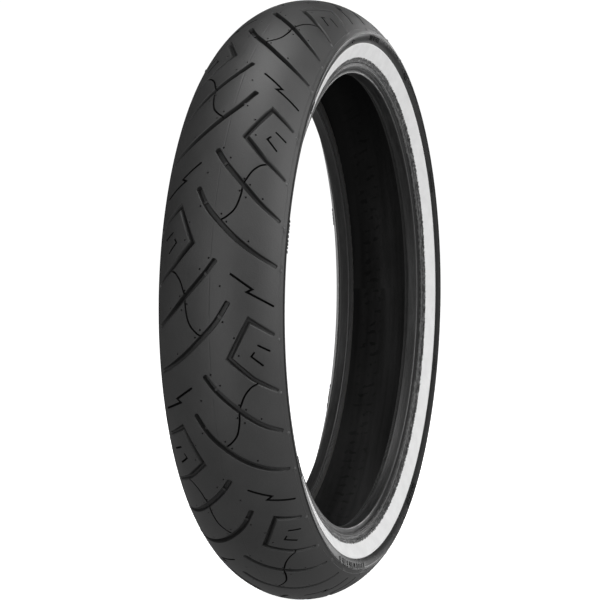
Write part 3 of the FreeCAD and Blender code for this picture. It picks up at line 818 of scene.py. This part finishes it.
# --------------------
# Materials
# --------------------
class Look:
    """A procedural rubber, built up from a few named pieces."""

    def __init__(self, name):
        self.material = bpy.data.materials.new(name)
        self.material.use_nodes = True
        self.nodes = self.material.node_tree.nodes
        self.links = self.material.node_tree.links
        self.shader = self.nodes["Principled BSDF"]
        self.point = self.nodes.new("ShaderNodeTexCoord").outputs["Object"]

    def noise(self, scale, detail=3.0, roughness=0.5):
        node = self.nodes.new("ShaderNodeTexNoise")
        node.inputs["Scale"].default_value = scale
        node.inputs["Detail"].default_value = detail
        node.inputs["Roughness"].default_value = roughness
        self.links.new(self.point, node.inputs["Vector"])
        return node.outputs["Fac"]

    def math(self, kind, a, b=None, c=None):
        node = self.nodes.new("ShaderNodeMath")
        node.operation = kind
        for socket, value in zip(node.inputs, (a, b, c)):
            if value is None:
                continue
            if isinstance(value, (int, float)):
                socket.default_value = value
            else:
                self.links.new(value, socket)
        return node.outputs[0]

    def ramp(self, factor, *stops):
        node = self.nodes.new("ShaderNodeValToRGB")
        while len(node.color_ramp.elements) < len(stops):
            node.color_ramp.elements.new(0.5)
        for element, (position, grey) in zip(node.color_ramp.elements, stops):
            element.position = position
            tint = grey if isinstance(grey, tuple) else (grey, grey, grey)
            element.color = (*tint, 1.0)
        self.links.new(factor, node.inputs["Fac"])
        return node.outputs["Color"]

    def mix(self, factor, a, b):
        node = self.nodes.new("ShaderNodeMix")
        node.data_type = "RGBA"
        for socket, value in ((node.inputs[0], factor), (node.inputs[6], a), (node.inputs[7], b)):
            if isinstance(value, tuple):
                socket.default_value = (*value, 1.0)
            else:
                self.links.new(value, socket)
        return node.outputs[2]

    def radius(self):
        """How far a point is from the axle, in millimetres."""
        node = self.nodes.new("ShaderNodeSeparateXYZ")
        self.links.new(self.point, node.inputs[0])
        x, z = node.outputs["X"], node.outputs["Z"]
        total = self.math("ADD", self.math("MULTIPLY", x, x), self.math("MULTIPLY", z, z))
        return self.math("MULTIPLY", self.math("SQRT", total), 1000.0)

    def round_tyre(self, per_turn, per_radius, per_width):
        """Texture coordinates that run round the tyre: angle, radius and width, each times a number."""
        split = self.nodes.new("ShaderNodeSeparateXYZ")
        self.links.new(self.point, split.inputs[0])
        join = self.nodes.new("ShaderNodeCombineXYZ")
        turn = self.math("ARCTAN2", split.outputs["Z"], split.outputs["X"])
        self.links.new(self.math("MULTIPLY", turn, per_turn), join.inputs[0])
        self.links.new(self.math("MULTIPLY", self.radius(), per_radius), join.inputs[1])
        self.links.new(self.math("MULTIPLY", split.outputs["Y"], 1000.0 * per_width), join.inputs[2])
        return join.outputs[0]

    def streaks(self, per_turn, per_radius, per_width, detail=3.0, roughness=0.5):
        node = self.nodes.new("ShaderNodeTexNoise")
        node.inputs["Scale"].default_value = 1.0
        node.inputs["Detail"].default_value = detail
        node.inputs["Roughness"].default_value = roughness
        self.links.new(self.round_tyre(per_turn, per_radius, per_width), node.inputs["Vector"])
        return node.outputs["Fac"]

    def axis(self, name):
        node = self.nodes.new("ShaderNodeSeparateXYZ")
        self.links.new(self.point, node.inputs[0])
        return node.outputs[name]

    def bump(self, height, distance, strength=1.0):
        node = self.nodes.new("ShaderNodeBump")
        node.inputs["Distance"].default_value = distance
        node.inputs["Strength"].default_value = strength
        self.links.new(height, node.inputs["Height"])
        self.links.new(node.outputs["Normal"], self.shader.inputs["Normal"])

    def colour(self, source):
        self.links.new(source, self.shader.inputs["Base Color"])

    def roughness(self, source):
        self.links.new(source, self.shader.inputs["Roughness"])

    def specular(self, level):
        self.shader.inputs["Specular IOR Level"].default_value = level


def rubber(name, dark, light, rough=(0.5, 0.62), grain=900.0, cloud=22.0, bump=0.00012, specular=0.5):
    """Moulded rubber: cloudy grey, fine grain, uneven sheen."""
    look = Look(name)
    clouds = look.noise(cloud, 4.0, 0.6)
    fine = look.noise(grain, 2.0, 0.6)
    both = look.math("MULTIPLY_ADD", fine, 0.25, look.math("MULTIPLY", clouds, 0.75))
    look.colour(look.ramp(both, (0.35, dark), (0.65, light)))
    look.roughness(look.ramp(clouds, (0.3, rough[0]), (0.7, rough[1])))
    look.bump(look.math("ADD", fine, look.math("MULTIPLY", clouds, 0.5)), bump)
    look.specular(specular)
    return look


def flecked(look):
    """Fine flecks mixed with short streaks round the tyre."""
    both = look.math("ADD", look.noise(330.0, 4.0, 0.9), look.streaks(40.0, 0.5, 0.3, 3.0, 0.7))
    return look.math("MULTIPLY", both, 0.5)


def tread_look():
    return rubber("tread_rubber", 0.020, 0.032, (0.46, 0.56), 700.0, 14.0, 0.00010).material


def groove_looks():
    """Painted shade down in the grooves and sipes: duller, darker colours there, near black in the sipes; and
    a paler colour on the nubs.
    """
    # Painted shade: the grooves are coloured darker than the tread's top.
    groove = rubber("groove_painted_shade", 0.013, 0.020, (0.5, 0.6), 700.0, 30.0, 0.00008, 0.4)
    # Painted shade: the sipes are coloured near black.
    slit = rubber("sipe_painted_shade", 0.003, 0.005, (0.7, 0.8), 700.0, 30.0, 0.00008, 0.1)
    nub = rubber("nub_rubber", 0.045, 0.075, (0.5, 0.6), 900.0, 60.0, 0.00008)
    return groove.material, slit.material, nub.material


def sidewall_look():
    """Dark shoulder band, and a scuffed grey zone where the white rubber was buffed."""
    look = rubber("side_rubber", 0.005, 0.010, (0.24, 0.36), 900.0, 30.0, 0.00008, 0.27)
    radius = look.radius()
    plain = look.ramp(look.noise(30.0, 4.0), (0.35, 0.005), (0.65, 0.010))
    scuffed = look.ramp(flecked(look), (0.43, 0.004), (0.50, 0.026), (0.58, 0.130))
    below = look.math("LESS_THAN", radius, STRIPE_R - 1.0)
    look.colour(look.mix(below, plain, scuffed))
    return look.material


def stripe_look():
    """White rubber with a ragged black foot, faintly dusty."""
    look = Look("white_rubber")
    radius = look.radius()
    ragged = look.noise(330.0, 4.0, 0.9)
    slow = look.noise(9.0, 2.0)
    edge = look.math("MULTIPLY_ADD", ragged, 6.4, look.math("MULTIPLY_ADD", slow, 2.4, radius))
    edge = look.math("MULTIPLY_ADD", look.axis("X"), -5.0, edge)
    foot = on_wall(0, STRIPE_FOOT)[1]
    factor = look.math("MULTIPLY_ADD", edge, 0.5, -0.5 * (foot + 2.5))
    white = look.ramp(look.noise(70.0, 4.0, 0.6), (0.3, 0.64), (0.7, 0.72))
    black = look.ramp(look.noise(330.0, 4.0, 0.9), (0.42, 0.005), (0.52, 0.035), (0.62, 0.17))
    look.colour(look.mix(look.ramp(factor, (0.42, 0.0), (0.66, 1.0)), black, white))
    look.roughness(look.ramp(look.noise(60.0), (0.3, 0.5), (0.7, 0.65)))
    look.bump(look.noise(500.0, 3.0), 0.00006)
    look.specular(0.4)
    return look.material


def bead_look():
    """Bead rubber: a plain seat, a painted highlight line and painted shade in the crease at the heel, and a
    painted highlight along the rim line above.
    The places of the lines are heights above the seat, in centimetres."""
    look = rubber("bead_rubber", 0.014, 0.026, (0.28, 0.42), 700.0, 40.0, 0.00008, 0.4)
    radius = look.radius()
    slow = look.streaks(9.0, 1.0, 0.5, 3.0, 0.6)
    streaks = look.math("MULTIPLY_ADD", look.noise(300.0, 4.0, 0.7), 0.4, slow)
    seat = look.ramp(look.math("MULTIPLY", streaks, 0.71), (0.40, 0.013), (0.60, 0.024))
    wall = look.ramp(flecked(look), (0.43, 0.005), (0.50, 0.022), (0.58, 0.095))
    up = look.math("MULTIPLY_ADD", radius, 0.1, -0.1 * SEAT_R)
    colour = look.mix(look.ramp(up, (0.60, 0.0), (0.66, 1.0)), seat, wall)
    # Painted shade: the sunk band round the heel and the crease above it are coloured near black.
    crease = look.ramp(up, (0.15, 0.0), (0.24, 1.0), (0.62, 1.0), (0.70, 0.0))
    colour = look.mix(crease, colour, (0.001, 0.001, 0.001))
    # Painted highlight: a pale line on the heel's small rib and on the toe's lip.
    painted_heel_highlight = look.ramp(up, (0.05, 0.0), (0.08, 0.8), (0.14, 0.8), (0.17, 0.0))
    colour = look.mix(painted_heel_highlight, colour, (0.09, 0.09, 0.09))
    # Painted highlight: a pale line along the rim line's rib.
    painted_rim_highlight = look.ramp(up, (0.77, 0.0), (0.81, 0.9), (0.86, 0.9), (0.90, 0.0))
    look.colour(look.mix(painted_rim_highlight, colour, (0.12, 0.12, 0.12)))
    return look.material


def liner_look():
    """Butyl liner: soft bands round the tyre, rows of short slanted marks from the bladder, and painted shade
    that darkens it towards the top.
    """
    look = rubber("liner_rubber", 0.006, 0.012, (0.45, 0.6), 500.0, 26.0, 0.00015, 0.22)
    bands = look.ramp(look.streaks(1.3, 0.0, 0.11, 2.0), (0.36, 0.0060), (0.62, 0.0200))
    wobble = look.math("MULTIPLY", look.streaks(30.0, 0.0, 0.10, 2.0), 7.0)
    turn = look.math("ARCTAN2", look.axis("Z"), look.axis("X"))
    wave = look.math("MULTIPLY_ADD", turn, 150.0, look.math("MULTIPLY_ADD", look.axis("Y"), 170.0, wobble))
    dash = look.ramp(look.math("MULTIPLY_ADD", look.math("SINE", wave), 0.5, 0.5), (0.62, 0.0), (0.85, 1.0))
    lane = look.math("ABSOLUTE", look.math("ADD", look.axis("Y"), 0.024))
    inside = look.ramp(look.math("MULTIPLY", lane, 40.0), (0.30, 1.0), (0.55, 0.0))
    broken = look.ramp(look.streaks(24.0, 0.0, 0.12, 2.0), (0.48, 0.0), (0.56, 1.0))
    marks = look.math("MULTIPLY", dash, look.math("MULTIPLY", inside, broken))
    colour = look.mix(marks, bands, (0.0005, 0.0005, 0.0005))
    # Painted shade: the liner's upper part is coloured darker, near black towards the top.
    shade = look.ramp(look.math("MULTIPLY_ADD", look.axis("Z"), 1.5, 0.5), (0.60, 0.0), (0.86, 0.95))
    look.colour(look.mix(shade, colour, (0.001, 0.001, 0.001)))
    return look.material


def cord_look(name, dark, light, scale, turn):
    """Rubberised cord fabric: fine parallel cords laid at an angle."""
    look = Look(name)
    wave = look.nodes.new("ShaderNodeTexWave")
    wave.inputs["Scale"].default_value = scale
    wave.inputs["Distortion"].default_value = 0.4
    mapping = look.nodes.new("ShaderNodeMapping")
    mapping.inputs["Rotation"].default_value = (turn, turn, turn)
    look.links.new(look.point, mapping.inputs["Vector"])
    look.links.new(mapping.outputs["Vector"], wave.inputs["Vector"])
    look.colour(look.ramp(wave.outputs["Fac"], (0.2, dark), (0.8, light)))
    look.roughness(look.ramp(look.noise(80.0), (0.3, 0.6), (0.7, 0.8)))
    look.bump(wave.outputs["Fac"], 0.0002)
    return look.material


def wire_look():
    """Bronze-plated drawn wire."""
    look = Look("bead_wire")
    streaks = look.noise(900.0, 2.0)
    look.colour(look.ramp(streaks, (0.3, (0.33, 0.22, 0.10)), (0.7, (0.55, 0.40, 0.20))))
    look.roughness(look.ramp(streaks, (0.3, 0.25), (0.7, 0.4)))
    look.shader.inputs["Metallic"].default_value = 1.0
    return look.material


HIDDEN_LOOKS = {
    "base_rubber": lambda: rubber("base_rubber", 0.012, 0.02).material,
    "filler_rubber": lambda: rubber("filler_rubber", 0.012, 0.022, grain=500.0).material,
    "belt_cord": lambda: cord_look("belt_cord", 0.02, (0.09, 0.085, 0.075), 260.0, 0.4),
    "ply_cord": lambda: cord_look("ply_cord", 0.015, (0.06, 0.058, 0.055), 300.0, 1.1),
    "chafer_cord": lambda: cord_look("chafer_cord", 0.012, 0.03, 420.0, 0.7),
    "wrap_cord": lambda: cord_look("wrap_cord", 0.02, 0.08, 380.0, 0.2),
    "bead_wire": wire_look,
}


def dress_frame():
    """Every CAD piece whose slot has a look in HIDDEN_LOOKS gets that material."""
    made = {}
    slots = {s["node"]: s["material_slot"] for s in frame["record"]["subparts"]}
    for name, node in frame["nodes"].items():
        slot = slots[name]
        if slot not in HIDDEN_LOOKS:
            continue
        if slot not in made:
            made[slot] = HIDDEN_LOOKS[slot]()
        node.data.materials.clear()
        node.data.materials.append(made[slot])


# --------------------
# Studio
# --------------------
FLOOR_REACH = 6.0


def make_floor():
    """A plain white floor under the tyre, which neither lights it nor takes its shadow."""
    mesh = bpy.data.meshes.new("floor")
    corners = [(2 * a * FLOOR_REACH, 2 * b * FLOOR_REACH, CAD_LOW.z) for a, b in SQUARE]
    mesh.from_pydata(corners, [], [(0, 1, 2, 3)])
    floor = bpy.data.objects.new("floor", mesh)
    bpy.context.scene.collection.objects.link(floor)
    material = bpy.data.materials.new("floor")
    material.use_nodes = True
    shader = material.node_tree.nodes["Principled BSDF"]
    shader.inputs["Base Color"].default_value = (0.9, 0.9, 0.9, 1)
    shader.inputs["Roughness"].default_value = 0.9
    shader.inputs["Specular IOR Level"].default_value = 0.0
    shader.inputs["Emission Color"].default_value = (1, 1, 1, 1)
    shader.inputs["Emission Strength"].default_value = 1.0
    mesh.materials.append(material)
    floor.visible_diffuse = floor.visible_glossy = floor.visible_shadow = False


def make_light(name, where, side, power):
    """A square soft box that faces the tyre's centre."""
    data = bpy.data.lights.new(name, "AREA")
    data.shape = "RECTANGLE"
    data.size = data.size_y = side
    data.energy = power
    light = bpy.data.objects.new(name, data)
    bpy.context.scene.collection.objects.link(light)
    light.location = where
    light.rotation_mode = "QUATERNION"
    light.rotation_quaternion = (-where).to_track_quat("-Z", "Y")


# Each soft box's height and turn from the camera in degrees, and its power in watts.
# Those behind the tyre are smaller.
BOX_DISTANCE, BOX_SIDE, BACK_SIDE, BEHIND = 2.4, 1.5, 0.9, 105
SOFT_BOXES = (
    (90, 0, 28.0), (60, 0, 13.0), (30, 45, 3.6), (5, 60, 12.5), (30, 75, 22.0), (30, -50, 5.0), (5, -80, 2.5),
    (12, -22, 13.4), (-20, -20, 9.0), (17, 152, 10.0), (-15, 152, 4.2),
)
# The world's strength from above, from below, added from the right, and as the camera sees it; and
# the heights and sideways leans of a direction between which it changes.
WORLD_UP, WORLD_DOWN, WORLD_SIDE, WORLD_SEEN = 0.060, 0.297, 0.38, 1.05
BELOW, BESIDE = (-0.25, -0.15), (0.45, 0.55)


def make_world():
    """White to the camera; as a light, dim above, brighter below and out to the right."""
    world = bpy.data.worlds.new("studio")
    bpy.context.scene.world = world
    world.use_nodes = True
    nodes, links = world.node_tree.nodes, world.node_tree.links
    split = nodes.new("ShaderNodeSeparateXYZ")
    links.new(nodes.new("ShaderNodeTexCoord").outputs["Generated"], split.inputs[0])
    below = nodes.new("ShaderNodeMapRange")
    for socket, number in zip(below.inputs[1:5], (*BELOW, WORLD_DOWN, WORLD_UP)):
        socket.default_value = number
    links.new(split.outputs["Z"], below.inputs[0])
    beside = nodes.new("ShaderNodeMapRange")
    for socket, number in zip(beside.inputs[1:5], (*BESIDE, 0.0, WORLD_SIDE)):
        socket.default_value = number
    links.new(split.outputs["Y"], beside.inputs[0])
    total = nodes.new("ShaderNodeMath")
    links.new(below.outputs[0], total.inputs[0])
    links.new(beside.outputs[0], total.inputs[1])
    lit = nodes["Background"]
    lit.inputs["Color"].default_value = (1, 1, 1, 1)
    links.new(total.outputs[0], lit.inputs["Strength"])
    seen = nodes.new("ShaderNodeBackground")
    seen.inputs["Strength"].default_value = WORLD_SEEN
    seen.inputs["Color"].default_value = (1, 1, 1, 1)
    path, mix = nodes.new("ShaderNodeLightPath"), nodes.new("ShaderNodeMixShader")
    links.new(path.outputs["Is Camera Ray"], mix.inputs[0])
    links.new(lit.outputs[0], mix.inputs[1])
    links.new(seen.outputs[0], mix.inputs[2])
    links.new(mix.outputs[0], nodes["World Output"].inputs["Surface"])


def make_studio():
    """Soft boxes round the tyre, and a view transform that leaves colours as they are."""
    make_world()
    for number, (rise, turn, power) in enumerate(SOFT_BOXES):
        e, a = math.radians(rise), CAMERA_TURN + math.radians(turn)
        heading = Vector((math.cos(a) * math.cos(e), math.sin(a) * math.cos(e), math.sin(e)))
        side = BOX_SIDE if abs(turn) < BEHIND else BACK_SIDE
        make_light(f"soft_box_{number}", heading * BOX_DISTANCE, side, power)
    scene = bpy.context.scene
    scene.view_settings.view_transform = "Standard"
    scene.view_settings.look = "None"


make_camera()
make_studio()
make_floor()
dress_frame()
rubber_of_tread, rubber_of_side = tread_look(), sidewall_look()
make_tread(rubber_of_tread, groove_looks())
make_wear_bars(rubber_of_tread)
make_sides({"sidewall": rubber_of_side, "stripe": stripe_look(), "bead": bead_look()})
make_marks(rubber_of_side)
make_liner(liner_look())
